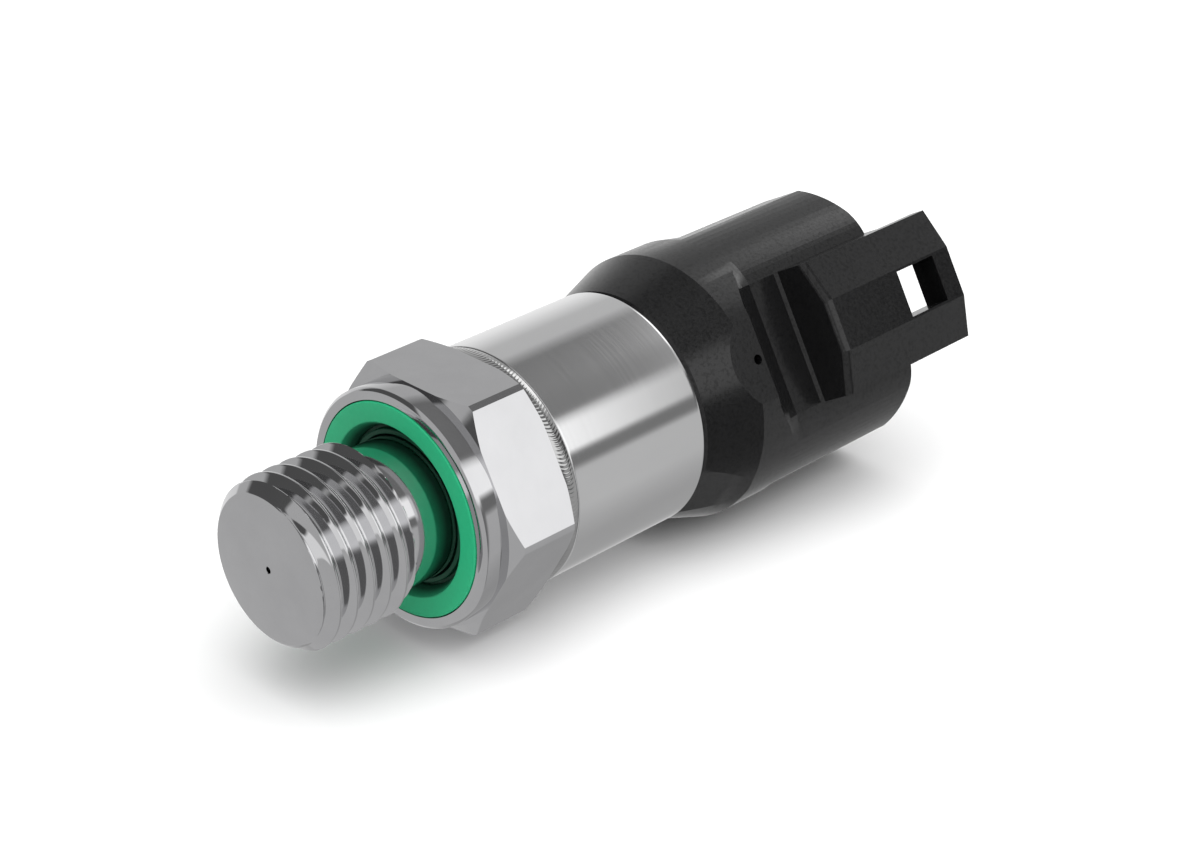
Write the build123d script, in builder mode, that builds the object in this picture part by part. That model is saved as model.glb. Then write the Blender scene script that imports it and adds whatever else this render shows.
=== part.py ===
# Pressure transmitter with a threaded process port and a round plug receptacle.
# It lies on its side: the axis runs along +Y from the port tip to the receptacle,
# +Z is up, and the origin is the centre of the sealing face of the flange.
# Every radius is measured from the axis, and every place along it from that face.

import os
from math import atan2, cos, degrees, radians, sin, sqrt

from build123d import *

# Process port: stud with its thread turns as rings, flange and hexagon
thread_radius = 13.157 / 2
thread_pitch = 1.52
thread_depth = 0.8
thread_crest_width = 0.3
thread_root_width = 0.16
thread_groove_count = 4
thread_groove_start = 0.73
stud_length = 12.0
tip_radius = 5.67
neck_radius = 5.5
neck_length = 3.2
orifice_radius = 0.25
orifice_length = 2.6
bore_radius = 1.6
flange_radius = 9.38
flange_edge = 0.25
flange_length = 1.9
hexagon_across_flats = 19.0
hexagon_length = 6.1
hexagon_turned_off = 0.15
hexagon_face_step = 0.3
hexagon_corner_cut = 0.57
spigot_clearance = 0.05
spigot_length = 2.5

# Profile seal in the groove of the flange: land, throat, slot and lip
seal_radius = 8.37
seal_edge_clearance = 0.08
seal_neck_clearance = 0.1
seal_depth = 1.75
seal_proud = 0.07
seal_land_radius = 6.8
seal_throat_radius = 6.25
seal_throat_depth = 0.95
seal_slot_depth = 1.3
seal_lip_width = 0.38
seal_lip_depth = 0.8

# Steel tube, its weld and the rolled lip that holds the receptacle
tube_radius = 9.5
tube_wall = 0.7
tube_length = 13.6
weld_width = 1.2
weld_crown = 0.06
lip_hook = 0.45
lip_height = 0.6
lip_round = 0.35
lip_clearance = 0.1

# Sensing cell, its weld and the gauge film on the diaphragm
cell_radius = 4.5
cell_height = 3.0
cell_bore_radius = 2.4
diaphragm = 0.4
cell_weld_size = 0.5
film_radius = 3.4
film_thickness = 0.08

# Circuit boards and what holds and joins them
board_clearance = 0.4
support_width = 1.5
support_height = 2.1
gauge_board_thickness = 0.8
gauge_board_bore = 5.0
spacer_width = 1.0
spacer_height = 3.2
signal_board_thickness = 1.0
lead_thickness = 0.12
lead_width = 0.2
lead_count = 4
lead_turn_angle = 45.0
lead_film_reach = 0.5
lead_board_reach = 0.55
lead_rise = 0.75
link_radius = 0.22
link_count = 5
link_turn_angle = 180.0
link_pitch_angle = 16.0
link_circle_radius = 6.0
link_overrun = 0.3
link_clearance = 0.06

# Parts on the signal board, each as (length, width, height)
chip_size = (3.0, 3.0, 0.9)
chip_bevel = 0.15
capacitor_size = (1.6, 0.8, 0.8)
capacitor_count = 4
capacitor_circle_radius = 4.7
resistor_size = (1.0, 0.5, 0.35)
resistor_count = 3
resistor_pitch = 1.5
diode_size = (4.2, 2.4, 1.6)
diode_offset = 4.3
transistor_size = (4.4, 2.4, 1.4)
transistor_offset = 4.3
clip_thickness = 0.25
clip_width = 2.0
clip_foot = 1.5
clip_knee_radius = 8.0
clip_drop = 2.2
clip_gap = 0.12
clip_window = 3.2

# Receptacle skirt inside the tube, and its seal ring
skirt_clearance = 0.1
skirt_wall = 2.3
skirt_lead = 0.3
ring_groove_depth = 1.15
ring_groove_width = 1.8
ring_groove_start = 1.1
ring_squeeze = 0.04
ring_section = 1.5
ring_bevel = 0.4

# Receptacle outside: shoulder, flare, collar and round shell
shoulder_width = 0.4
flare_step = 0.1
flare_length = 5.0
collar_radius = 10.93
collar_length = 4.1
taper_length = 3.0
shell_step = 0.57
shell_length = 11.25
latch_side_trim = 0.6
mouth_edge = 0.2
facet_angle = 60.7
facet_depth = 0.65
facet_fade = 0.06
facet_length = 6.5
facet_width = 8.0

# Latch side: vent flat, ramp, pad, and the hood over a flat tunnel
# Each share is a height or half width as a part of the collar's radius
latch_angle = 60.0
vent_flat_share = 0.95425
ramp_reach = 4.4
ramp_radius = 3.0
ramp_stations = (0, 0.9, 1.7, 2.35, 2.9)
pad_share = 0.81885
pad_flat_share = 0.49405
pad_corner_lift = 0.02
pad_corner_angle = 46.174
pad_bulge_sink = 0.094
pad_bulge_angle = 39.006
hood_length = 15.2
hood_overhang = 4.35
hood_draft = 0.45
hood_foot = 0.24
hood_root = 0.9
hood_crown_share = 1.17658
hood_shoulder_share = 1.07777
hood_crown_half_share = 0.19213
hood_half_share = 0.4968
hood_round = 0.6
plate_thickness = 2.4
hood_side_wall = 1.33
hood_front_wall = 2.3
window_half = 1.9
window_length = 4.47
window_bar = 1.98

# Receptacle inside: cavity, partition, keys and vent
cavity_wall = 1.95
cavity_round = 3.0
cavity_depth = 13.65
partition = 2.0
key_width = 1.3
key_height = 0.8
key_length = 11.0
key_place = 3.2
vent_hole_radius = 0.4
vent_seat_floor = 0.83
vent_edge = 0.1
membrane_radius = 1.35
membrane_thickness = 0.25
membrane_clearance = 0.07

# Contacts: round pins through the partition, soldered to the signal board
contact_radius = 1.575 / 2
contact_pitch = 5.0
contact_length = 9.0
contact_nose = 0.5
contact_clearance = 0.02
contact_stem_radius = 1.0
contact_collar_radius = 1.2
contact_collar_length = 1.2
tail_radius = 0.45
tail_overrun = 0.4
tail_clearance = 0.08
solder_radius = 0.95
solder_rim = 0.1
solder_height = 0.7

# Radii that follow from the sizes above
neck_inner = neck_radius + seal_neck_clearance
groove_radius = seal_radius + seal_edge_clearance
hexagon_corner_radius = hexagon_across_flats / 2 / cos(radians(30)) - hexagon_turned_off
hexagon_face_radius = hexagon_across_flats / 2 + hexagon_face_step
tube_bore = tube_radius - tube_wall
spigot_radius = tube_bore - spigot_clearance
lip_radius = tube_bore - lip_hook
board_radius = tube_bore - board_clearance
skirt_radius = tube_bore - skirt_clearance
skirt_bore = skirt_radius - skirt_wall
ring_groove_radius = skirt_radius - ring_groove_depth
shoulder_radius = tube_radius - shoulder_width
flare_start_radius = tube_radius - flare_step
shell_radius = collar_radius - shell_step
latch_side_half = collar_radius - latch_side_trim
vent_flat = collar_radius * vent_flat_share
vent_seat = skirt_bore + vent_seat_floor
pad_height = collar_radius * pad_share
pad_flat = collar_radius * pad_flat_share
hood_crown = collar_radius * hood_crown_share
hood_shoulder = collar_radius * hood_shoulder_share
hood_crown_half = collar_radius * hood_crown_half_share
hood_half = collar_radius * hood_half_share
room_top = collar_radius + 2 * ramp_radius
cavity_width = 2 * (pad_height - cavity_wall)
facet_rise = (collar_radius - facet_fade - tube_radius + facet_depth) / flare_length

# Places along the axis that follow from the sizes above
thread_start = thread_radius - tip_radius - stud_length
thread_groove_first = thread_start + thread_groove_start
hexagon_end = flange_length + hexagon_length
tube_start = hexagon_end + weld_width
tube_end = tube_start + tube_length
spigot_end = hexagon_end + spigot_length
cell_top = spigot_end + cell_height
film_top = cell_top + film_thickness
gauge_board_base = spigot_end + support_height
gauge_board_top = gauge_board_base + gauge_board_thickness
signal_board_base = gauge_board_top + spacer_height
signal_board_top = signal_board_base + signal_board_thickness
ring_groove_base = signal_board_top + ring_groove_start
ring_base = ring_groove_base + (ring_groove_width - ring_section) / 2
collar_start = tube_end + flare_length
collar_end = collar_start + collar_length
shell_start = collar_end + taper_length
mouth = shell_start + shell_length
ramp_foot = collar_start + ramp_reach
hood_end = mouth + hood_overhang
hood_start = hood_end - hood_length
cavity_floor = mouth - cavity_depth
partition_base = cavity_floor - partition
vent_place = partition_base - membrane_radius - membrane_clearance - vent_edge

os.makedirs("parts", exist_ok=True)


def across(place):
    """Plane across the axis: its x points up, its y to the right, its normal along +Y."""
    return Plane(origin=(0, place, 0), x_dir=(0, 0, 1), z_dir=(0, 1, 0))


latch_direction = Vector(sin(radians(latch_angle)), 0, cos(radians(latch_angle)))
latch_side = Vector(0, 1, 0).cross(latch_direction)


def latch_across(place):
    """Plane across the axis, turned so that its x points to the latch."""
    return Plane(origin=(0, place, 0), x_dir=latch_direction, z_dir=(0, 1, 0))


# Plane through the axis and the latch: its x points to the latch, its y along the axis
latch_profile = Plane(origin=(0, 0, 0), x_dir=latch_direction, z_dir=-latch_side)

# Plane through the axis under the vent, facing the latch
vent_plane = Plane(origin=(0, vent_place, 0), x_dir=(0, 1, 0), z_dir=latch_direction)

# Ends and middles of the rounded strips beside the pad, across the axis
pad_corner = (
    (collar_radius + pad_corner_lift) * cos(radians(pad_corner_angle)),
    (collar_radius + pad_corner_lift) * sin(radians(pad_corner_angle)),
)
pad_bulge = (
    (collar_radius - pad_bulge_sink) * cos(radians(pad_bulge_angle)),
    (collar_radius - pad_bulge_sink) * sin(radians(pad_bulge_angle)),
)

# Contact places in the plane across the axis that is turned to the latch
contact_places = [
    (row * contact_pitch / 2, side * contact_pitch / 2) for row in (-1, 1) for side in (-1, 1)
]


def latch_height(shape):
    """Distance of a shape's centre from the axis, measured towards the latch."""
    return shape.center().dot(latch_direction)


def ramp_height(reach):
    """Height of the hollow ramp over the pad, at a distance from its foot."""
    return ramp_radius - sqrt(ramp_radius**2 - reach**2)


def finish(solid, name):
    """Names a finished piece and writes it to its own file."""
    solid.part.label = name
    export_step(solid.part, f"parts/{name}.step")


# Process port
with BuildPart() as pressure_port:
    with BuildSketch(Plane.XY):
        with BuildLine():
            Polyline(
                (0, -stud_length),
                (tip_radius, -stud_length),
                (thread_radius, thread_start),
                (thread_radius, neck_radius - thread_radius - neck_length),
                (neck_radius, -neck_length),
                (neck_radius, seal_depth),
                (groove_radius, seal_depth),
                (groove_radius, 0),
                (flange_radius - flange_edge, 0),
                (flange_radius, flange_edge),
                (flange_radius, flange_length),
                (spigot_radius, flange_length),
                (spigot_radius, spigot_end),
                (0, spigot_end),
                close=True,
            )
        make_face()
    revolve(axis=Axis.Y)
    with BuildSketch(across(flange_length)):
        RegularPolygon(hexagon_across_flats / 2, 6, major_radius=False, rotation=30)
    extrude(amount=hexagon_length)
    with BuildSketch(Plane.XY):
        with BuildLine():
            Polyline(
                (hexagon_face_radius, flange_length),
                (hexagon_corner_radius, flange_length + hexagon_corner_cut),
                (hexagon_corner_radius, hexagon_end - hexagon_corner_cut),
                (hexagon_face_radius, hexagon_end),
                (hexagon_across_flats, hexagon_end),
                (hexagon_across_flats, flange_length),
                close=True,
            )
        make_face()
    revolve(axis=Axis.Y, mode=Mode.SUBTRACT)
    with BuildSketch(Plane.XY):
        with BuildLine():
            Polyline(
                (0, -stud_length),
                (orifice_radius, -stud_length),
                (orifice_radius, orifice_length - stud_length),
                (bore_radius, orifice_length - stud_length + bore_radius / 2),
                (bore_radius, spigot_end),
                (0, spigot_end),
                close=True,
            )
        make_face()
    revolve(axis=Axis.Y, mode=Mode.SUBTRACT)
    # Thread turns, each groove a V with a narrow root
    with BuildSketch(Plane.XY):
        for index in range(thread_groove_count):
            groove_middle = thread_groove_first + index * thread_pitch
            with BuildLine():
                Polyline(
                    (thread_radius, groove_middle - (thread_pitch - thread_crest_width) / 2),
                    (thread_radius - thread_depth, groove_middle - thread_root_width / 2),
                    (thread_radius - thread_depth, groove_middle + thread_root_width / 2),
                    (thread_radius, groove_middle + (thread_pitch - thread_crest_width) / 2),
                    close=True,
                )
            make_face()
    revolve(axis=Axis.Y, mode=Mode.SUBTRACT)
finish(pressure_port, "pressure_port")

# Profile seal: a flat land outside, a throat and a lip round the neck
with BuildPart() as profile_seal:
    with BuildSketch(Plane.XY):
        with BuildLine():
            Polyline(
                (neck_inner, seal_depth),
                (neck_inner, seal_lip_depth),
                (neck_inner + seal_lip_width, seal_lip_depth),
                (neck_inner + seal_lip_width, seal_slot_depth),
                (seal_throat_radius, seal_slot_depth),
                (seal_throat_radius, seal_throat_depth),
                (seal_land_radius, -seal_proud),
                (seal_radius, -seal_proud),
                (seal_radius, seal_depth),
                close=True,
            )
        make_face()
    revolve(axis=Axis.Y)
finish(profile_seal, "profile_seal")

# Weld bead between the hexagon and the tube
with BuildPart() as weld_bead:
    with BuildSketch(Plane.XY):
        with BuildLine():
            Polyline(
                (tube_radius - weld_crown, tube_start),
                (spigot_radius, tube_start),
                (spigot_radius, hexagon_end),
                (tube_radius - weld_crown, hexagon_end),
                (tube_radius + weld_crown, hexagon_end + weld_width / 3),
                (tube_radius + weld_crown, tube_start - weld_width / 3),
                close=True,
            )
        make_face()
    revolve(axis=Axis.Y)
finish(weld_bead, "weld_bead")

# Tube with its lip rolled in over the receptacle
with BuildPart() as body_tube:
    with BuildSketch(Plane.XY):
        with BuildLine():
            Polyline(
                (tube_radius - lip_round, tube_end),
                (lip_radius, tube_end),
                (lip_radius, tube_end - lip_height),
                (tube_bore, tube_end - lip_height),
                (tube_bore, tube_start),
                (tube_radius, tube_start),
                (tube_radius, tube_end - lip_round),
            )
            RadiusArc((tube_radius, tube_end - lip_round), (tube_radius - lip_round, tube_end), -lip_round)
        make_face()
    revolve(axis=Axis.Y)
finish(body_tube, "body_tube")

# Sensing cell: a cup whose closed end is the diaphragm
with BuildPart() as sensing_cell:
    with BuildSketch(Plane.XY):
        with BuildLine():
            Polyline(
                (cell_bore_radius, spigot_end),
                (cell_radius, spigot_end),
                (cell_radius, cell_top),
                (0, cell_top),
                (0, cell_top - diaphragm),
                (cell_bore_radius, cell_top - diaphragm),
                close=True,
            )
        make_face()
    revolve(axis=Axis.Y)
finish(sensing_cell, "sensing_cell")

with BuildPart() as cell_weld:
    with BuildSketch(Plane.XY):
        with BuildLine():
            Polyline(
                (cell_radius, spigot_end + cell_weld_size),
                (cell_radius, spigot_end),
                (cell_radius + cell_weld_size, spigot_end),
                close=True,
            )
        make_face()
    revolve(axis=Axis.Y)
finish(cell_weld, "cell_weld")

with BuildPart() as gauge_film:
    with BuildSketch(across(cell_top)):
        Circle(film_radius)
    extrude(amount=film_thickness)
finish(gauge_film, "gauge_film")

# Lower ring support and the ring board round the cell
with BuildPart() as board_support:
    with BuildSketch(across(spigot_end)):
        Circle(board_radius)
        Circle(board_radius - support_width, mode=Mode.SUBTRACT)
    extrude(amount=support_height)
finish(board_support, "board_support")

with BuildPart() as gauge_board:
    with BuildSketch(across(gauge_board_base)):
        Circle(board_radius)
        Circle(gauge_board_bore, mode=Mode.SUBTRACT)
        with PolarLocations(link_circle_radius, link_count, link_turn_angle, link_pitch_angle * link_count):
            Circle(link_radius + link_clearance, mode=Mode.SUBTRACT)
    extrude(amount=gauge_board_thickness)
finish(gauge_board, "gauge_board")

# Bond leads: thin ribbons that arch from the film to the ring board
lead_start = film_radius - lead_film_reach
lead_end = gauge_board_bore + lead_board_reach
with BuildPart() as bond_lead:
    with BuildSketch(Plane.XY):
        with BuildLine():
            Polyline(
                (lead_start, film_top + lead_thickness),
                (lead_start + (lead_end - lead_start) / 3, film_top + lead_rise),
                (lead_end - (lead_end - lead_start) / 3, film_top + lead_rise),
                (lead_end, gauge_board_top + lead_thickness),
            )
        trace(line_width=lead_thickness)
    extrude(amount=lead_width / 2, both=True)

with BuildPart() as bond_leads:
    for index in range(lead_count):
        add(Rotation(0, lead_turn_angle + index * 360 / lead_count, 0) * bond_lead.part)
finish(bond_leads, "bond_leads")

# Link pins join the two boards
with BuildPart() as link_pins:
    with BuildSketch(across(gauge_board_base - link_overrun)):
        with PolarLocations(link_circle_radius, link_count, link_turn_angle, link_pitch_angle * link_count):
            Circle(link_radius)
    extrude(amount=signal_board_top - gauge_board_base + 2 * link_overrun)
finish(link_pins, "link_pins")

# Spacer ring with a window for the ground clip
with BuildPart() as board_spacer:
    with BuildSketch(across(gauge_board_top)):
        Circle(board_radius)
        Circle(board_radius - spacer_width, mode=Mode.SUBTRACT)
        with Locations((board_radius, 0)):
            Rectangle(board_radius, clip_window, mode=Mode.SUBTRACT)
    extrude(amount=spacer_height)
finish(board_spacer, "board_spacer")

with BuildPart() as signal_board:
    with BuildSketch(across(signal_board_base)):
        Circle(board_radius)
        with PolarLocations(link_circle_radius, link_count, link_turn_angle, link_pitch_angle * link_count):
            Circle(link_radius + link_clearance, mode=Mode.SUBTRACT)
    extrude(amount=signal_board_thickness)
    with BuildSketch(latch_across(signal_board_base)):
        with Locations(*contact_places):
            Circle(tail_radius + tail_clearance)
    extrude(amount=signal_board_thickness, mode=Mode.SUBTRACT)
finish(signal_board, "signal_board")

# Parts on the upper face of the signal board
with BuildPart() as signal_chip:
    with BuildSketch(latch_across(signal_board_top)):
        Rectangle(chip_size[0], chip_size[1])
    extrude(amount=chip_size[2])
    chamfer(signal_chip.faces().sort_by(Axis.Y)[-1].edges(), chip_bevel)
finish(signal_chip, "signal_chip")

with BuildPart() as capacitors:
    with BuildSketch(latch_across(signal_board_top)):
        with PolarLocations(capacitor_circle_radius, capacitor_count):
            Rectangle(capacitor_size[0], capacitor_size[1])
    extrude(amount=capacitor_size[2])
finish(capacitors, "capacitors")

# Parts on the lower face of the signal board
with BuildPart() as resistors:
    with BuildSketch(latch_across(signal_board_base)):
        with GridLocations(resistor_pitch, 0, resistor_count, 1):
            Rectangle(resistor_size[0], resistor_size[1])
    extrude(amount=-resistor_size[2])
finish(resistors, "resistors")

with BuildPart() as surge_diode:
    with BuildSketch(latch_across(signal_board_base)):
        with Locations((0, -diode_offset)):
            Rectangle(diode_size[0], diode_size[1])
    extrude(amount=-diode_size[2])
finish(surge_diode, "surge_diode")

with BuildPart() as loop_transistor:
    with BuildSketch(latch_across(signal_board_base)):
        with Locations((0, transistor_offset)):
            Rectangle(transistor_size[0], transistor_size[1])
    extrude(amount=-transistor_size[2])
finish(loop_transistor, "loop_transistor")

# Ground clip: a bent strip from the signal board to the tube wall
clip_touch = tube_bore - clip_gap - clip_thickness / 2
with BuildPart() as ground_clip:
    with BuildSketch(Plane.YZ):
        with BuildLine():
            Polyline(
                (signal_board_base - clip_thickness / 2, clip_knee_radius - clip_foot),
                (signal_board_base - clip_thickness / 2, clip_knee_radius),
                (signal_board_base - clip_drop / 2, clip_touch),
                (signal_board_base - clip_drop, clip_knee_radius),
            )
        trace(line_width=clip_thickness)
    extrude(amount=clip_width / 2, both=True)
finish(ground_clip, "ground_clip")

# Seal ring, squeezed in its groove
with BuildPart() as housing_seal:
    with BuildSketch(Plane.XY):
        with BuildLine():
            Polyline(
                (ring_groove_radius + ring_squeeze + ring_bevel, ring_base),
                (ring_groove_radius + ring_squeeze, ring_base + ring_bevel),
                (ring_groove_radius + ring_squeeze, ring_base + ring_section - ring_bevel),
                (ring_groove_radius + ring_squeeze + ring_bevel, ring_base + ring_section),
                (tube_bore - ring_squeeze - ring_bevel, ring_base + ring_section),
                (tube_bore - ring_squeeze, ring_base + ring_section - ring_bevel),
                (tube_bore - ring_squeeze, ring_base + ring_bevel),
                (tube_bore - ring_squeeze - ring_bevel, ring_base),
                close=True,
            )
        make_face()
    revolve(axis=Axis.Y)
finish(housing_seal, "housing_seal")

# Latch hood: its outline seen along the axis, cut to its outline seen from the side
with BuildPart() as hood:
    with BuildSketch(latch_across(0)):
        with BuildLine():
            Polyline(
                (pad_height - hood_root, -hood_half),
                (hood_shoulder, -hood_half),
                (hood_crown, -hood_crown_half),
                (hood_crown, hood_crown_half),
                (hood_shoulder, hood_half),
                (pad_height - hood_root, hood_half),
                close=True,
            )
        make_face()
    extrude(amount=hood_end)
    with BuildSketch(latch_profile):
        with BuildLine():
            Polyline(
                (pad_height - hood_root, hood_start - hood_foot),
                (pad_height, hood_start - hood_foot),
                (pad_height + hood_foot, hood_start),
                (hood_crown, hood_start + hood_draft),
                (hood_crown, hood_end),
                (hood_crown - plate_thickness, hood_end),
                (hood_crown - plate_thickness, mouth),
                (pad_height - hood_root, mouth),
                close=True,
            )
        make_face()
    extrude(amount=hood_half, both=True, mode=Mode.INTERSECT)
    front_edges = [
        edge
        for edge in hood.edges()
        if edge.center().Y < hood_start + 2 * hood_draft and latch_height(edge) > hood_shoulder
    ]
    fillet(front_edges, hood_round)

# Room over the latch pad: a flat land with a rounded strip on each side, begun by a hollow ramp
# whose section is an arc in short cones
with BuildPart() as pad_room:
    with BuildSketch(latch_across(ramp_foot)):
        with BuildLine():
            ThreePointArc(
                (pad_corner[0], -pad_corner[1]),
                (pad_bulge[0], -pad_bulge[1]),
                (pad_height, -pad_flat),
            )
            Line((pad_height, -pad_flat), (pad_height, pad_flat))
            ThreePointArc((pad_height, pad_flat), pad_bulge, pad_corner)
            Polyline(
                pad_corner,
                (room_top, pad_corner[1]),
                (room_top, -pad_corner[1]),
                (pad_corner[0], -pad_corner[1]),
            )
        make_face()
    extrude(amount=mouth - ramp_foot)
    for near, far in zip(ramp_stations, ramp_stations[1:]):
        rise = ramp_height(far) - ramp_height(near)
        extrude(
            pad_room.faces().sort_by(Axis.Y)[0],
            amount=far - near,
            dir=(0, -1, 0),
            taper=degrees(atan2(rise, far - near)),
        )

facet_direction = latch_direction * cos(radians(facet_angle)) + latch_side * sin(radians(facet_angle))
facet_plane = Plane(
    origin=facet_direction * (tube_radius - facet_depth) + Vector(0, tube_end, 0),
    x_dir=facet_direction * facet_rise + Vector(0, 1, 0),
    z_dir=facet_direction - Vector(0, facet_rise, 0),
)

with BuildPart() as connector_housing:
    with BuildSketch(Plane.XY):
        with BuildLine():
            Polyline(
                (0, signal_board_top),
                (skirt_radius - skirt_lead, signal_board_top),
                (skirt_radius, signal_board_top + skirt_lead),
                (skirt_radius, ring_groove_base),
                (ring_groove_radius, ring_groove_base),
                (ring_groove_radius, ring_groove_base + ring_groove_width),
                (skirt_radius, ring_groove_base + ring_groove_width),
                (skirt_radius, tube_end - lip_height - lip_clearance),
                (lip_radius - lip_clearance, tube_end - lip_height - lip_clearance),
                (lip_radius - lip_clearance, tube_end),
                (shoulder_radius, tube_end),
                (flare_start_radius, tube_end + flare_start_radius - shoulder_radius),
                (collar_radius, collar_start),
                (collar_radius, collar_end),
                (shell_radius, shell_start),
                (shell_radius, mouth - mouth_edge),
                (shell_radius - mouth_edge, mouth),
                (0, mouth),
                close=True,
            )
        make_face()
    revolve(axis=Axis.Y)
    # On the latch side the radius of the collar carries on to the mouth
    with BuildSketch(latch_across(collar_end)):
        Circle(collar_radius)
        Rectangle(
            collar_radius, 2 * latch_side_half, align=(Align.MIN, Align.CENTER), mode=Mode.INTERSECT
        )
    extrude(amount=mouth - collar_end)
    # Vent flat, and the room over the latch pad
    with BuildSketch(latch_profile):
        with BuildLine():
            Polyline(
                (vent_flat, tube_end),
                (vent_flat, mouth),
                (hood_crown, mouth),
                (hood_crown, tube_end),
                close=True,
            )
        make_face()
    extrude(amount=collar_radius, both=True, mode=Mode.SUBTRACT)
    add(pad_room.part, mode=Mode.SUBTRACT)
    add(hood.part)
    # Facet on the flare
    with BuildSketch(facet_plane):
        Rectangle(facet_length, facet_width, align=(Align.MIN, Align.CENTER))
    extrude(amount=collar_radius, mode=Mode.SUBTRACT)
    # Bore of the skirt, and the cavity with its keys
    with BuildSketch(across(signal_board_top)):
        Circle(skirt_bore)
    extrude(amount=partition_base - signal_board_top, mode=Mode.SUBTRACT)
    with BuildSketch(latch_across(cavity_floor)):
        RectangleRounded(cavity_width, cavity_width, cavity_round)
        with Locations((-cavity_width / 2, -key_place), (-cavity_width / 2, key_place)):
            Rectangle(2 * key_height, key_width, mode=Mode.SUBTRACT)
    extrude(amount=mouth - cavity_floor, mode=Mode.SUBTRACT)
    with BuildSketch(latch_across(cavity_floor + key_length)):
        RectangleRounded(cavity_width, cavity_width, cavity_round)
    extrude(amount=mouth - cavity_floor - key_length, mode=Mode.SUBTRACT)
    with BuildSketch(latch_across(partition_base)):
        with Locations(*contact_places):
            Circle(contact_stem_radius + contact_clearance)
    extrude(amount=partition, mode=Mode.SUBTRACT)
    # Tunnel under the plate of the hood, and its window
    with BuildSketch(latch_across(hood_start + hood_front_wall)):
        with Locations((pad_height, 0)):
            Rectangle(
                hood_crown - plate_thickness - pad_height,
                2 * (hood_half - hood_side_wall),
                align=(Align.MIN, Align.CENTER),
            )
    extrude(amount=hood_length - hood_front_wall, mode=Mode.SUBTRACT)
    with BuildSketch(latch_across(hood_end - window_bar - window_length)):
        with Locations((pad_height, 0)):
            Rectangle(hood_crown, 2 * window_half, align=(Align.MIN, Align.CENTER))
    extrude(amount=window_length, mode=Mode.SUBTRACT)
    # Vent hole and the seat of its membrane
    with BuildSketch(vent_plane):
        Circle(vent_hole_radius)
    extrude(amount=vent_flat, mode=Mode.SUBTRACT)
    with BuildSketch(vent_plane):
        Circle(membrane_radius + membrane_clearance)
    extrude(amount=vent_seat, mode=Mode.SUBTRACT)
finish(connector_housing, "connector_housing")

with BuildPart() as vent_membrane:
    with BuildSketch(vent_plane.offset(vent_seat - membrane_thickness)):
        Circle(membrane_radius)
    extrude(amount=membrane_thickness)
finish(vent_membrane, "vent_membrane")

# Contacts, each with a collar under the partition and a tail through the signal board
for number, place in enumerate(contact_places, 1):
    contact_profile = Plane(
        origin=latch_across(0).from_local_coords(place), x_dir=latch_direction, z_dir=latch_profile.z_dir
    )
    contact_axis = Axis(contact_profile.origin, (0, 1, 0))
    with BuildPart() as contact:
        with BuildSketch(contact_profile):
            with BuildLine():
                Polyline(
                    (0, signal_board_base - tail_overrun),
                    (tail_radius, signal_board_base - tail_overrun),
                    (tail_radius, partition_base - contact_collar_length),
                    (contact_collar_radius, partition_base - contact_collar_length),
                    (contact_collar_radius, partition_base),
                    (contact_stem_radius, partition_base),
                    (contact_stem_radius, cavity_floor),
                    (contact_radius, cavity_floor + contact_stem_radius - contact_radius),
                    (contact_radius, cavity_floor + contact_length - contact_nose),
                    (contact_radius - contact_nose / 2, cavity_floor + contact_length),
                    (0, cavity_floor + contact_length),
                    close=True,
                )
            make_face()
        revolve(axis=contact_axis)
    finish(contact, f"contact_{number}")

# Solder cones round the tails
with BuildPart() as pin_solder:
    for place in contact_places:
        solder_base = latch_across(signal_board_top).from_local_coords(place)
        solder_plane = Plane(origin=solder_base, x_dir=latch_direction, z_dir=(0, 1, 0))
        with BuildSketch(solder_plane):
            Circle(solder_radius)
        with BuildSketch(solder_plane.offset(solder_height)):
            Circle(tail_radius + solder_rim)
        loft()
        with BuildSketch(solder_plane):
            Circle(tail_radius + contact_clearance)
        extrude(amount=solder_height, mode=Mode.SUBTRACT)
finish(pin_solder, "pin_solder")
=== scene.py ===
import bmesh
import bpy
import numpy as np
from mathutils import Matrix, Vector


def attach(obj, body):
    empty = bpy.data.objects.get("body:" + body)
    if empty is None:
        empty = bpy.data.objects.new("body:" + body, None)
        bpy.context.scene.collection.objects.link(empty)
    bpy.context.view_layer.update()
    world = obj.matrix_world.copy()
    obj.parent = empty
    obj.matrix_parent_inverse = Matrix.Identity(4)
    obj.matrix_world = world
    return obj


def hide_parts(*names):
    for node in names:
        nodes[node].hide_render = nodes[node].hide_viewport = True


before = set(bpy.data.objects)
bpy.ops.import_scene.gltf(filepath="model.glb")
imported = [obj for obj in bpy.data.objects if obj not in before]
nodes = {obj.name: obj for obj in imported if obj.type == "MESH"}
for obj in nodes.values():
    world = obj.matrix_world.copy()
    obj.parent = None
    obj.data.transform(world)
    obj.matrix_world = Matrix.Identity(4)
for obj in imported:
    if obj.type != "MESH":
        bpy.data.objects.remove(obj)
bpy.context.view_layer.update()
mm = 0.001
joined = {"made": 1e-8, "copied": 1e-7}  # points of a mesh nearer than this, in metres, are joined
print("frame loaded:", len(nodes), "nodes")


# ---- meshes ----

def gridQuads(rows, columns, closeAcross, closeAlong):
    # each cell of a grid of points, rows along the profile and columns round the axis, is a quad
    index = np.arange(rows * columns).reshape(rows, columns)
    if closeAcross:
        index = np.concatenate([index, index[:, :1]], axis=1)
    if closeAlong:
        index = np.concatenate([index, index[:1]], axis=0)
    corners = [index[:-1, :-1], index[:-1, 1:], index[1:, 1:], index[1:, :-1]]
    return np.stack(corners, axis=-1).reshape(-1, 4)


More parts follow.
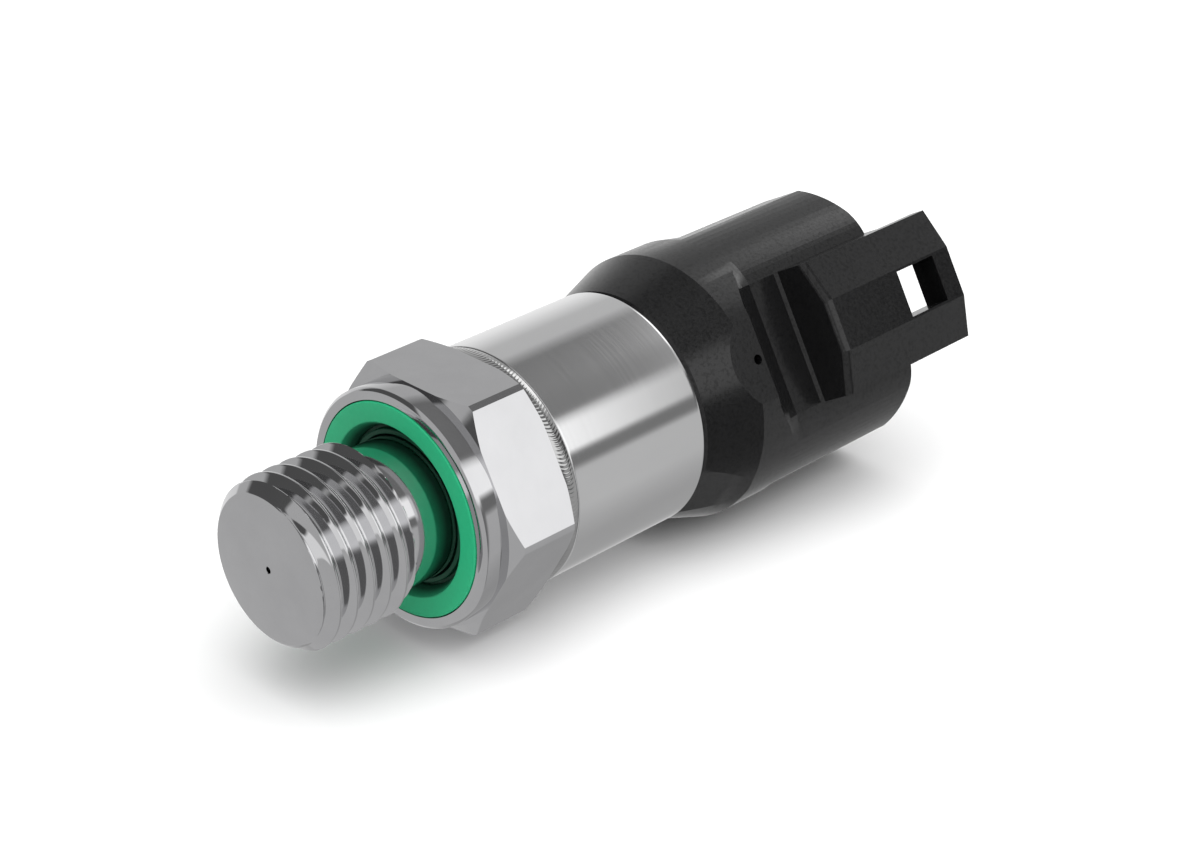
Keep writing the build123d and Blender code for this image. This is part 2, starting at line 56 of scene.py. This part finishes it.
def closedMesh(name, points, quads):
    # points in mm, joined where they meet, with the normals turned outwards
    mesh = bpy.data.meshes.new(name)
    mesh.from_pydata(points * mm, [], quads)
    work = bmesh.new()
    work.from_mesh(mesh)
    bmesh.ops.remove_doubles(work, verts=work.verts, dist=joined["made"])
    bmesh.ops.recalc_face_normals(work, faces=work.faces)
    work.to_mesh(mesh)
    work.free()
    return mesh


def gridMesh(name, x, y, z, closeAcross=True, closeAlong=False):
    points = np.stack([x, y, z], axis=-1).reshape(-1, 3)
    return closedMesh(name, points, gridQuads(*x.shape, closeAcross, closeAlong))


def joinedGrids(name, *grids):
    # several grids as one mesh: each is its points (x, y, z) and whether it closes round the axis
    allPoints, allQuads, count = [], [], 0
    for (x, y, z), closeAcross in grids:
        allPoints.append(np.stack([x, y, z], axis=-1).reshape(-1, 3))
        allQuads.append(gridQuads(*x.shape, closeAcross, False) + count)
        count += x.size
    return closedMesh(name, np.concatenate(allPoints), np.concatenate(allQuads))


def addPiece(name, mesh, material, sharpAngle, *replaced):
    # smooth shading with sharp edges past an angle, in degrees
    mesh.shade_smooth()
    mesh.set_sharp_from_angle(angle=np.radians(sharpAngle))
    mesh.materials.clear()
    mesh.materials.append(material)
    piece = bpy.data.objects.new(name, mesh)
    bpy.context.scene.collection.objects.link(piece)
    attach(piece, "root")
    if replaced:
        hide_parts(*replaced)
    return piece


def roundCorners(corners, steps=4):
    # each corner (radius, place, rounding) becomes an arc that touches both its edges
    corners = np.array(corners, float)
    here, rounding = corners[:, :2], corners[:, 2:3]
    before = np.roll(here, 1, axis=0) - here
    after = np.roll(here, -1, axis=0) - here
    before /= np.linalg.norm(before, axis=1, keepdims=True)
    after /= np.linalg.norm(after, axis=1, keepdims=True)
    turn = np.sum(before * after, axis=1, keepdims=True).clip(-0.9999, 0.9999)
    reach = rounding * np.sqrt((1 + turn) / (1 - turn))  # from the corner to where the arc starts
    share = np.linspace(0, 1, steps + 1)[None, :, None]
    start, end = here + before * reach, here + after * reach
    # a conic through start and end that bulges towards the corner like the arc does
    weight = np.sqrt((1 - turn) / 2)[:, None]
    top = (1 - share) ** 2 * start[:, None] + 2 * weight * share * (1 - share) * here[:, None]
    top = top + share**2 * end[:, None]
    return (top / ((1 - share) ** 2 + 2 * weight * share * (1 - share) + share**2)).reshape(-1, 2)


def revolve(name, profile, columns):
    # every profile point (radius, place) is carried round the Y axis, and the profile is closed
    angle = np.linspace(0, 2 * np.pi, columns, endpoint=False)
    radius, place = profile[:, :1], profile[:, 1:]
    return gridMesh(
        name, radius * np.sin(angle), place + 0 * angle, radius * np.cos(angle), closeAlong=True
    )


def mergedCopy(name, node):
    # the CAD node's own triangles, joined where they meet
    mesh = nodes[node].data.copy()
    mesh.name = name
    work = bmesh.new()
    work.from_mesh(mesh)
    bmesh.ops.remove_doubles(work, verts=work.verts, dist=joined["copied"])
    work.to_mesh(mesh)
    work.free()
    return mesh


# ---- materials ----

def newMaterial(name):
    material = bpy.data.materials.new(name)
    material.use_nodes = True
    return material, material.node_tree, material.node_tree.nodes["Principled BSDF"]


def addNode(tree, kind, operation):
    made = tree.nodes.new(kind)
    made.operation = operation
    return made


def objectCoordinates(tree, scale=(1, 1, 1)):
    # object coordinates in metres, stretched by scale
    coordinates = tree.nodes.new("ShaderNodeTexCoord")
    mapping = tree.nodes.new("ShaderNodeMapping")
    mapping.inputs["Scale"].default_value = scale
    tree.links.new(coordinates.outputs["Object"], mapping.inputs["Vector"])
    return mapping.outputs["Vector"]


def addNoise(tree, vector, scale, detail=4, roughness=0.6):
    noise = tree.nodes.new("ShaderNodeTexNoise")
    noise.inputs["Scale"].default_value = scale
    noise.inputs["Detail"].default_value = detail
    noise.inputs["Roughness"].default_value = roughness
    tree.links.new(vector, noise.inputs["Vector"])
    return noise.outputs["Fac"]


def mapRange(tree, value, low, high, fromLow=0.0, fromHigh=1.0):
    ranged = tree.nodes.new("ShaderNodeMapRange")
    for key, number in (("From Min", fromLow), ("From Max", fromHigh), ("To Min", low), ("To Max", high)):
        ranged.inputs[key].default_value = number
    tree.links.new(value, ranged.inputs["Value"])
    return ranged.outputs["Result"]


def mixColors(tree, factor, first, second):
    mix = tree.nodes.new("ShaderNodeMix")
    mix.data_type = "RGBA"
    mix.inputs["A"].default_value = (*first, 1)
    mix.inputs["B"].default_value = (*second, 1)
    tree.links.new(factor, mix.inputs["Factor"])
    return mix.outputs["Result"]


def addBump(tree, shader, height, strength, distance):
    bump = tree.nodes.new("ShaderNodeBump")
    bump.inputs["Strength"].default_value = strength
    bump.inputs["Distance"].default_value = distance
    tree.links.new(height, bump.inputs["Height"])
    tree.links.new(bump.outputs["Normal"], shader.inputs["Normal"])


# colours, roughness and specular level are pairs that a noise runs between; the range of the noise that
# is used is "spread", and a bump is its strength and its height in metres
spread = (0.3, 0.7)
steelLook = {
    "dark": (0.55, 0.55, 0.56), "light": (0.66, 0.66, 0.67), "roughness": (0.04, 0.08),
    "lines": (40, 9000, 40), "patches": 260, "bump": (0.02, 0.00001),
}


def turnedSteel():
    # polished turned steel: faint lathe lines across the axis and a slightly uneven polish
    material, tree, shader = newMaterial("turnedSteel")
    shader.inputs["Metallic"].default_value = 1
    lines = addNoise(tree, objectCoordinates(tree, steelLook["lines"]), 1, 3)
    patches = addNoise(tree, objectCoordinates(tree), steelLook["patches"], 5)
    tint = mixColors(tree, patches, steelLook["dark"], steelLook["light"])
    tree.links.new(tint, shader.inputs["Base Color"])
    tree.links.new(mapRange(tree, patches, *steelLook["roughness"], *spread), shader.inputs["Roughness"])
    addBump(tree, shader, lines, *steelLook["bump"])
    return material


tubeLook = {
    "dark": (0.72, 0.72, 0.725), "light": (0.82, 0.82, 0.825), "roughness": (0.09, 0.13),
    "lines": (60, 14000, 60), "clouds": (120, 60, 120), "bump": (0.03, 0.00001),
}


def satinSteel():
    # satin tube: fine lines round it and soft cloudy patches
    material, tree, shader = newMaterial("satinSteel")
    shader.inputs["Metallic"].default_value = 1
    lines = addNoise(tree, objectCoordinates(tree, tubeLook["lines"]), 1, 4)
    patches = addNoise(tree, objectCoordinates(tree, tubeLook["clouds"]), 1, 4)
    tint = mixColors(tree, patches, tubeLook["dark"], tubeLook["light"])
    tree.links.new(tint, shader.inputs["Base Color"])
    tree.links.new(mapRange(tree, lines, *tubeLook["roughness"], *spread), shader.inputs["Roughness"])
    addBump(tree, shader, lines, *tubeLook["bump"])
    return material


weldLook = {"dark": (0.36, 0.36, 0.36), "light": (0.62, 0.62, 0.62), "roughness": 0.13, "patches": 900}


def weldSteel():
    material, tree, shader = newMaterial("weldSteel")
    shader.inputs["Metallic"].default_value = 1
    patches = addNoise(tree, objectCoordinates(tree), weldLook["patches"], 4)
    tint = mixColors(tree, patches, weldLook["dark"], weldLook["light"])
    tree.links.new(tint, shader.inputs["Base Color"])
    shader.inputs["Roughness"].default_value = weldLook["roughness"]
    return material


# the throat is painted dark as shade up to its first distance from the axis, in metres, and has the face's
# colour from the second on
sealLook = {
    "dark": (0.014, 0.4, 0.18), "light": (0.02, 0.47, 0.215), "throatShade": (0.003, 0.065, 0.032),
    "throat": (0.0064, 0.0069), "grain": 2600, "roughness": 0.5, "specular": 0.3, "bump": (0.1, 0.00003),
}


def greenRubber():
    material, tree, shader = newMaterial("greenRubber")
    coordinates = objectCoordinates(tree)
    grain = addNoise(tree, coordinates, sealLook["grain"], 5)
    face = mixColors(tree, grain, sealLook["dark"], sealLook["light"])
    # distance from the Y axis
    # painted shade: nearer the axis, in the throat and the slot by the lip, the rubber is given a dark
    # colour where its hollow lies in shade
    away = addNode(tree, "ShaderNodeVectorMath", "MULTIPLY")
    tree.links.new(coordinates, away.inputs[0])
    away.inputs[1].default_value = (1, 0, 1)
    distance = addNode(tree, "ShaderNodeVectorMath", "LENGTH")
    tree.links.new(away.outputs[0], distance.inputs[0])
    outward = mapRange(tree, distance.outputs["Value"], 0, 1, *sealLook["throat"])
    shade = tree.nodes.new("ShaderNodeMix")
    shade.data_type = "RGBA"
    shade.inputs["A"].default_value = (*sealLook["throatShade"], 1)
    tree.links.new(face, shade.inputs["B"])
    tree.links.new(outward, shade.inputs["Factor"])
    tree.links.new(shade.outputs["Result"], shader.inputs["Base Color"])
    shader.inputs["Roughness"].default_value = sealLook["roughness"]
    shader.inputs["Specular IOR Level"].default_value = sealLook["specular"]
    addBump(tree, shader, grain, *sealLook["bump"])
    return material


plasticLook = {
    "dark": (0.0042, 0.0042, 0.0044), "light": (0.0055, 0.0055, 0.0058), "specular": (0.36, 0.49),
    "roughness": (0.16, 0.26), "spots": 3600, "spotSpread": (0.38, 0.5), "grain": 4200,
    "grainSpread": (0.35, 0.65), "bump": (0.08, 0.00002),
}


def mouldedPlastic():
    # black moulded plastic: glossy, with small duller spots from the mould and a fine grain
    material, tree, shader = newMaterial("mouldedPlastic")
    coordinates = objectCoordinates(tree)
    speckles = addNoise(tree, coordinates, plasticLook["grain"], 4, 0.65)
    blotches = addNoise(tree, coordinates, plasticLook["spots"], 3, 0.6)
    spots = mapRange(tree, blotches, 0, 1, *plasticLook["spotSpread"])
    tint = mixColors(tree, spots, plasticLook["dark"], plasticLook["light"])
    tree.links.new(tint, shader.inputs["Base Color"])
    tree.links.new(mapRange(tree, spots, *plasticLook["specular"]), shader.inputs["Specular IOR Level"])
    grain = mapRange(tree, speckles, *plasticLook["roughness"], *plasticLook["grainSpread"])
    tree.links.new(grain, shader.inputs["Roughness"])
    addBump(tree, shader, speckles, *plasticLook["bump"])
    return material


plainLook = {"darker": 0.82, "roughness": (0.85, 1.15), "grain": 2000, "bump": (0.08, 0.00002)}


def plainFinish(name, color, roughness, metallic=0.0):
    # a finish with a fine grain, a little lighter and darker
    material, tree, shader = newMaterial(name)
    speckles = addNoise(tree, objectCoordinates(tree), plainLook["grain"], 4)
    darker = tuple(plainLook["darker"] * c for c in color)
    tree.links.new(mixColors(tree, speckles, darker, color), shader.inputs["Base Color"])
    low, high = (share * roughness for share in plainLook["roughness"])
    tree.links.new(mapRange(tree, speckles, low, high), shader.inputs["Roughness"])
    shader.inputs["Metallic"].default_value = metallic
    addBump(tree, shader, speckles, *plainLook["bump"])
    return material


steel, satin, weld = turnedSteel(), satinSteel(), weldSteel()
rubber, plastic = greenRubber(), mouldedPlastic()
print("materials made")


# ---- process port ----

# lengths in mm, and places along Y from the sealing face
port = {
    "crest": 6.5785, "root": 5.72, "pitch": 1.52, "phase": 0.549, "crestWidth": 0.15, "rootWidth": 0.16,
    "crestRound": 0.06, "rootRound": 0.1, "roundSteps": 3, "flankSteps": 9, "flankGap": 0.1,
    "turns": 8, "firstTurn": -10,
    "blend": 0.02, "snap": 0.015, "tipRadius": 5.67, "tip": -12.0, "tipRound": 0.06, "neck": 5.5,
    "neckStart": -3.3, "neckSlope": 0.5, "sealGroove": 8.45, "grooveDepth": 1.75, "grooveRound": 0.1,
    "flange": 9.38, "flangeLength": 1.9,
    "flangeEdge": ((-0.28, 0), (-0.24, 0.01), (-0.02, 0.22), (0, 0.27)),
    "halfFlats": 9.5, "cornerRadius": 10.82, "faceRadius": 9.8, "cornerCut": 0.57, "hexagonEnd": 8.0,
    "spigot": 8.75, "spigotEnd": 10.5, "orifice": 0.25, "orificeLength": 2.6, "bore": 1.6,
    "orificeEdge": 0.04, "edge": 0.06, "edgeCut": 0.3, "tipCut": 0.2, "sides": 6, "columns": 48,
    "cornerColumns": 6,
}


def threadProfile():
    # one pitch of the thread: (share of a pitch, radius), from the middle of a crest to the next
    crest, root, pitch = port["crest"], port["root"], port["pitch"]
    corners = roundCorners([
        (0, crest, 0), (port["crestWidth"] / 2, crest, port["crestRound"]),
        ((pitch - port["rootWidth"]) / 2, root, port["rootRound"]),
        ((pitch + port["rootWidth"]) / 2, root, port["rootRound"]),
        (pitch - port["crestWidth"] / 2, crest, port["crestRound"]), (pitch, crest, 0),
    ], port["roundSteps"])
    flankEnd = (pitch - port["rootWidth"]) / 2 - port["flankGap"]
    flank = np.linspace(port["crestWidth"], flankEnd, port["flankSteps"])
    along = np.unique(np.concatenate([corners[:, 0], flank, pitch - flank]).round(5))
    return along[:-1] / pitch, np.interp(along[:-1], corners[:, 0], corners[:, 1])


def threadRows(angle):
    # a helix: each turn of the profile climbs one pitch a turn, and is cut by the cones at its ends
    share, profile = threadProfile()
    turn = np.arange(port["turns"])[:, None]
    climb = (turn + share).reshape(-1, 1) + port["firstTurn"] + port["phase"]
    place = (climb + angle / (2 * np.pi)) * port["pitch"]
    first, last = port["tip"] + port["tipRound"], port["neckStart"]
    place = np.where(place < first + port["snap"], first, place)
    place = np.where(place > last - port["snap"], last, place)
    tipCone = port["tipRadius"] + (place - port["tip"])
    neckCone = port["neck"] + (last - place) / port["neckSlope"]
    # a soft minimum, whose edges are slightly rounded: -b log(sum of exp(-r / b))
    soft = port["blend"]
    radius = np.logaddexp(-np.tile(profile, port["turns"])[:, None] / soft, -tipCone / soft)
    radius = -soft * np.logaddexp(radius, -neckCone / soft)
    radius = np.where(place <= first, port["tipRadius"] + port["tipRound"], radius)
    return np.where(place >= last, port["neck"], radius), place


def makePort():
    # columns round the axis fall on the hexagon's edges, and rows follow its chamfer curves
    sides, corner, sideAngle = port["sides"], port["cornerColumns"], 2 * np.pi / port["sides"]
    halfFlat = np.arccos(port["halfFlats"] / port["cornerRadius"])
    side = np.concatenate([
        np.linspace(-halfFlat, halfFlat, port["columns"] - corner, endpoint=False),
        np.linspace(halfFlat, sideAngle - halfFlat, corner, endpoint=False),
    ])
    angle = (side[None, :] + np.arange(sides)[:, None] * sideAngle).reshape(-1)
    flatRadius = np.tile(np.minimum(port["halfFlats"] / np.cos(side), port["cornerRadius"]), sides)
    one = np.ones_like(angle)
    slope = port["cornerCut"] / (port["cornerRadius"] - port["faceRadius"])  # of the chamfer cone
    rise = np.clip(flatRadius - port["faceRadius"], 0, None) * slope
    faceRadius = np.minimum(port["faceRadius"], flatRadius)

    def ring(corners):
        made = []
        for radius, place in corners:
            made.append((radius * one, place * one))
        return made

    edge, depth, tipRound = port["edge"], port["grooveDepth"], port["tipRound"]
    edgeCut, tipRise, grooveRound = port["edgeCut"] * edge, port["edgeCut"] * tipRound, port["grooveRound"]
    orificeEnd = port["tip"] + port["orificeLength"]
    flange, flangeEnd = port["flange"], port["flangeLength"]
    rows = ring([
        (port["neck"], port["neckStart"]), (port["neck"], depth - grooveRound),
        (port["neck"] + grooveRound, depth), (port["sealGroove"], depth), (port["sealGroove"], edge),
        (port["sealGroove"] + edgeCut, edgeCut), (port["sealGroove"] + edge, 0),
    ])
    rows += ring([(flange + inset, place) for inset, place in port["flangeEdge"]] + [(flange, flangeEnd)])
    rows += [
        (faceRadius, flangeEnd * one), (flatRadius, flangeEnd + rise),
        (flatRadius, port["hexagonEnd"] - rise), (faceRadius, port["hexagonEnd"] * one),
    ]
    rows += ring([
        (port["spigot"], port["hexagonEnd"]), (port["spigot"], port["spigotEnd"]),
        (port["bore"], port["spigotEnd"]), (port["bore"], orificeEnd + port["bore"] / 2),
        (port["orifice"], orificeEnd), (port["orifice"], port["tip"] + port["orificeEdge"]),
        (port["orifice"] + port["orificeEdge"], port["tip"]), (port["tipRadius"] - tipRound, port["tip"]),
        (port["tipRadius"] - port["tipCut"] * tipRound, port["tip"] + tipRise),
        (port["tipRadius"] + tipRound, port["tip"] + tipRound),
    ])
    radius = np.array([row[0] for row in rows])
    place = np.array([row[1] for row in rows])
    # the helix shifts by one turn of rows at its seam, so its last column is written out
    threadAngle = np.append(angle, angle[0] + 2 * np.pi)
    threadRadius, threadPlace = threadRows(threadAngle)
    body = (radius * np.sin(angle), place, radius * np.cos(angle))
    stud = (threadRadius * np.sin(threadAngle), threadPlace, threadRadius * np.cos(threadAngle))
    mesh = joinedGrids("processPort", (body, True), (stud, False))
    return addPiece("processPort", mesh, steel, 25, "pressure_port")


makePort()
print("process port made")

# ---- weld bead ----

bead = {
    "inner": 8.75, "outer": 9.44, "crown": 0.08, "start": 8.0, "width": 1.2, "ripples": 190,
    "ripple": 0.013, "bend": 2.2, "columns": 1900, "rows": 14,
}


def makeBead():
    # a crowned band whose radius ripples round the axis; each ripple bends like a drop of melt
    angle = np.linspace(0, 2 * np.pi, bead["columns"], endpoint=False)[None, :]
    across = np.linspace(-1, 1, bead["rows"])[:, None]
    crown = bead["crown"] * (1 - across**2)
    wave = np.sin(bead["ripples"] * angle + bead["bend"] * across**2 * np.pi)
    radius = bead["outer"] + crown + bead["ripple"] * wave * (1 - across**4)
    place = bead["start"] + bead["width"] * (across + 1) / 2 + 0 * angle
    inner = np.full_like(radius[:1], bead["inner"])
    radius = np.concatenate([inner, radius, inner])
    place = np.concatenate([place[:1], place, place[-1:]])
    mesh = gridMesh("weldBead", radius * np.sin(angle), place, radius * np.cos(angle), closeAlong=True)
    return addPiece("weldBead", mesh, weld, 40, "weld_bead")


makeBead()

# ---- tube and seal ----

tube = {
    "radius": 9.5, "bore": 8.8, "start": 9.2, "end": 22.8, "lipRadius": 8.35, "lipHeight": 0.6,
    "startRound": 0.1, "round": 0.35, "lipRound": 0.02, "steps": 8, "columns": 360, "rowGap": 0.2,
}


def makeTube():
    # rows beside the roundings keep the normals straight between them
    straight = (tube["start"] + tube["rowGap"], tube["end"] - tube["round"] - tube["rowGap"] / 2)
    lipEnd = tube["end"] - tube["lipHeight"]
    profile = roundCorners([
        (tube["bore"], tube["start"], 0), (tube["radius"], tube["start"], tube["startRound"]),
        (tube["radius"], straight[0], 0), (tube["radius"], straight[1], 0),
        (tube["radius"], tube["end"], tube["round"]), (tube["lipRadius"], tube["end"], tube["lipRound"]),
        (tube["lipRadius"], lipEnd, 0), (tube["bore"], lipEnd, 0),
    ], tube["steps"])
    mesh = revolve("steelTube", profile, tube["columns"])
    return addPiece("steelTube", mesh, satin, 30, "body_tube")


seal = {
    "neck": 5.6, "lip": 5.98, "throat": 6.25, "land": 6.8, "outer": 8.37, "face": -0.07,
    "throatPlace": 0.95, "slot": 1.3, "lipPlace": 0.8, "base": 1.75, "lipRounds": (0.06, 0.1),
    "slotRound": 0.03, "throatRound": 0.08, "landRound": 0.12, "steps": 6, "columns": 256,
}


def makeSeal():
    profile = roundCorners([
        (seal["neck"], seal["base"], 0), (seal["neck"], seal["lipPlace"], seal["lipRounds"][0]),
        (seal["lip"], seal["lipPlace"], seal["lipRounds"][1]),
        (seal["lip"], seal["slot"], seal["slotRound"]),
        (seal["throat"], seal["slot"], seal["slotRound"]),
        (seal["throat"], seal["throatPlace"], seal["throatRound"]),
        (seal["land"], seal["face"], seal["landRound"]), (seal["outer"], seal["face"], seal["landRound"]),
        (seal["outer"], seal["base"], 0),
    ], seal["steps"])
    mesh = revolve("profileSeal", profile, seal["columns"])
    return addPiece("profileSeal", mesh, rubber, 30, "profile_seal")


makeTube()
makeSeal()
print("tube and seal made")

# ---- receptacle ----

receptacle = {"sharp": 6, "bevel": 0.12, "bevelAngle": 30, "segments": 2}


def makeReceptacle():
    # the CAD node's own shape, with its edges rounded
    mesh = mergedCopy("plugReceptacle", "connector_housing")
    piece = addPiece("plugReceptacle", mesh, plastic, receptacle["sharp"], "connector_housing")
    rounding = piece.modifiers.new("rounding", "BEVEL")
    rounding.width = receptacle["bevel"] * mm
    rounding.segments = receptacle["segments"]
    rounding.limit_method = "ANGLE"
    rounding.angle_limit = np.radians(receptacle["bevelAngle"])
    rounding.harden_normals = True


makeReceptacle()

innerFinishes = {
    "sensing_cell": steel, "cell_weld": weld,
    "gauge_film": plainFinish("gaugeFilm", (0.3, 0.22, 0.06), 0.25),
    "board_support": plainFinish("carrierPlastic", (0.62, 0.58, 0.48), 0.5),
    "gauge_board": plainFinish("circuitBoard", (0.02, 0.16, 0.06), 0.35),
    "bond_leads": plainFinish("leadWire", (0.8, 0.8, 0.8), 0.25, 1.0),
    "link_pins": plainFinish("tinnedBrass", (0.72, 0.68, 0.6), 0.25, 1.0),
    "signal_chip": plainFinish("chipResin", (0.02, 0.02, 0.022), 0.5),
    "capacitors": plainFinish("capacitorBody", (0.4, 0.28, 0.16), 0.4),
    "ground_clip": plainFinish("springBrass", (0.75, 0.58, 0.26), 0.3, 1.0),
    "housing_seal": plainFinish("blackRubber", (0.015, 0.015, 0.015), 0.6),
    "vent_membrane": plainFinish("membraneFilm", (0.75, 0.75, 0.75), 0.7),
    "pin_solder": plainFinish("solder", (0.6, 0.6, 0.62), 0.35, 1.0),
}
sameFinish = {
    "board_spacer": "board_support", "signal_board": "gauge_board", "resistors": "signal_chip",
    "surge_diode": "signal_chip", "loop_transistor": "signal_chip", "contact_1": "link_pins",
    "contact_2": "link_pins", "contact_3": "link_pins", "contact_4": "link_pins",
}
innerFinishes.update({node: innerFinishes[like] for node, like in sameFinish.items()})
for node, finish in innerFinishes.items():
    nodes[node].data.materials.clear()
    nodes[node].data.materials.append(finish)
print("inner nodes finished:", len(innerFinishes))

# ---- camera, floor and light ----

view = {
    "place": (128.796, -110.059, 96.518), "forward": (-0.62107835, 0.62947832, -0.46692476),
    "up": (-0.33092176, 0.32942869, 0.88428928), "lens": 80.9085, "sensor": 36, "near": 0.005, "far": 20,
}


def makeCamera():
    camera = bpy.data.objects.new("camera", bpy.data.cameras.new("camera"))
    bpy.context.scene.collection.objects.link(camera)
    camera.data.lens = view["lens"]
    camera.data.sensor_width = view["sensor"]
    camera.data.clip_start, camera.data.clip_end = view["near"], view["far"]
    back = -Vector(view["forward"]).normalized()
    right = Vector(view["up"]).cross(back).normalized()
    turn = Matrix((right, back.cross(right), back)).transposed().to_4x4()
    camera.matrix_world = Matrix.Translation(Vector(view["place"]) * mm) @ turn
    bpy.context.scene.camera = camera


studio = {
    "floor": -0.01096, "floorHalf": 1.5, "floorColor": (0.86, 0.86, 0.86),
    # what shiny pieces see: an even room with strip lights and dark flags that lie along the part, each
    # laid over the ones before it. Angle round the axis from above towards +X, half width and soft edge
    # in degrees, brightness, and where it begins and ends as the share of a direction along the axis
    "room": 0.55, "endSoft": 0.03,
    "strips": {
        "rearWash": {"angle": -110, "half": 15, "soft": 35, "level": 0.9, "ends": (0, 1)},
        "under": {"angle": 180, "half": 15, "soft": 40, "level": 0.4, "ends": (0, 1)},
        "top": {"angle": 5, "half": 30, "soft": 15, "level": 0.2, "ends": (0, 0.65)},
        "key": {"angle": 60, "half": 12, "soft": 10, "level": 1.3, "ends": (-0.65, 0.62)},
        "keyEdge": {"angle": 80, "half": 4, "soft": 6, "level": 0.2, "ends": (0.3, 1)},
        "farKey": {"angle": -10, "half": 15, "soft": 15, "level": 1.8, "ends": (0.7, 1)},
        "farFlag": {"angle": 65, "half": 10, "soft": 10, "level": 0.1, "ends": (0.7, 1)},
        "rearFlag": {"angle": -50, "half": 25, "soft": 5, "level": 0.1, "ends": (-0.85, -0.1)},
        "underFlag": {"angle": 115, "half": 30, "soft": 10, "level": 0.2, "ends": (-0.1, 0.3)},
        "tipFlag": {"angle": -10, "half": 25, "soft": 5, "level": 0.1, "ends": (-1, -0.9)},
        "tipLight": {"angle": 60, "half": 35, "soft": 5, "level": 1.0, "ends": (-1, -0.9)},
    },
    # the dome that dull pieces and the floor see: brightness at its edge, what is added towards its
    # top and how fast that falls off, its stretch along each axis, and where its top is
    "low": 0.28, "overhead": 3.05, "falloff": 3, "stretch": (1.18, 0.83, 1), "top": (0.26, -0.05, 0.964),
}


def addStrip(tree, around, along, under, strip):
    # one light or flag over what is under it, or over the even room: full inside, with soft edges
    angle = np.radians(strip["angle"])
    facing = addNode(tree, "ShaderNodeVectorMath", "DOT_PRODUCT")
    tree.links.new(around, facing.inputs[0])
    facing.inputs[1].default_value = (np.sin(angle), 0, np.cos(angle))
    edges = np.cos(np.radians([strip["half"] + strip["soft"], strip["half"]]))
    begin, end = strip["ends"]
    cover = mapRange(tree, facing.outputs["Value"], 0, 1, *edges)
    begun = mapRange(tree, along, 0, 1, begin - studio["endSoft"], begin)
    going = mapRange(tree, along, 1, 0, end, end + studio["endSoft"])
    for part in (begun, going):
        product = addNode(tree, "ShaderNodeMath", "MULTIPLY")
        tree.links.new(cover, product.inputs[0])
        tree.links.new(part, product.inputs[1])
        cover = product.outputs[0]
    laid = tree.nodes.new("ShaderNodeMix")
    tree.links.new(cover, laid.inputs["Factor"])
    laid.inputs["A"].default_value = studio["room"]
    if under:
        tree.links.new(under, laid.inputs["A"])
    laid.inputs["B"].default_value = strip["level"]
    return laid.outputs["Result"]


def blend(tree, factor, first, second):
    mix = tree.nodes.new("ShaderNodeMix")
    tree.links.new(factor, mix.inputs["Factor"])
    tree.links.new(first, mix.inputs["A"])
    tree.links.new(second, mix.inputs["B"])
    return mix.outputs["Result"]


def makeWorld():
    world = bpy.data.worlds.new("studio")
    bpy.context.scene.world = world
    world.use_nodes = True
    tree = world.node_tree
    direction = tree.nodes.new("ShaderNodeTexCoord").outputs["Generated"]
    split = tree.nodes.new("ShaderNodeSeparateXYZ")
    tree.links.new(direction, split.inputs[0])
    flat = addNode(tree, "ShaderNodeVectorMath", "MULTIPLY")
    tree.links.new(direction, flat.inputs[0])
    flat.inputs[1].default_value = (1, 0, 1)
    around = addNode(tree, "ShaderNodeVectorMath", "NORMALIZE")
    tree.links.new(flat.outputs[0], around.inputs[0])
    wall = None
    for strip in studio["strips"].values():
        wall = addStrip(tree, around.outputs[0], split.outputs["Y"], wall, strip)
    stretched = addNode(tree, "ShaderNodeVectorMath", "MULTIPLY")
    tree.links.new(direction, stretched.inputs[0])
    stretched.inputs[1].default_value = studio["stretch"]
    unit = addNode(tree, "ShaderNodeVectorMath", "NORMALIZE")
    tree.links.new(stretched.outputs[0], unit.inputs[0])
    upward = addNode(tree, "ShaderNodeVectorMath", "DOT_PRODUCT")
    tree.links.new(unit.outputs[0], upward.inputs[0])
    upward.inputs[1].default_value = studio["top"]
    height = mapRange(tree, upward.outputs["Value"], 0, 1)
    raised = addNode(tree, "ShaderNodeMath", "POWER")
    tree.links.new(height, raised.inputs[0])
    raised.inputs[1].default_value = studio["falloff"]
    dome = mapRange(tree, raised.outputs[0], studio["low"], studio["low"] + studio["overhead"])
    glossy = tree.nodes.new("ShaderNodeLightPath").outputs["Is Glossy Ray"]
    tree.links.new(blend(tree, glossy, dome, wall), tree.nodes["Background"].inputs["Color"])


def makeFloor():
    half = studio["floorHalf"]
    corner = np.array([(-half, -half), (half, -half), (half, half), (-half, half)])
    points = np.column_stack([corner, np.full(4, studio["floor"])])
    mesh = bpy.data.meshes.new("floor")
    mesh.from_pydata(points, [], [(0, 1, 2, 3)])
    floor = bpy.data.objects.new("floor", mesh)
    bpy.context.scene.collection.objects.link(floor)
    material, _, shader = newMaterial("paleFloor")
    shader.inputs["Base Color"].default_value = (*studio["floorColor"], 1)
    shader.inputs["Roughness"].default_value = 1
    shader.inputs["Specular IOR Level"].default_value = 0
    mesh.materials.append(material)
    floor.visible_glossy = False


makeCamera()
makeWorld()
makeFloor()
bpy.context.scene.view_settings.view_transform = "Standard"
print("camera, floor and light made")
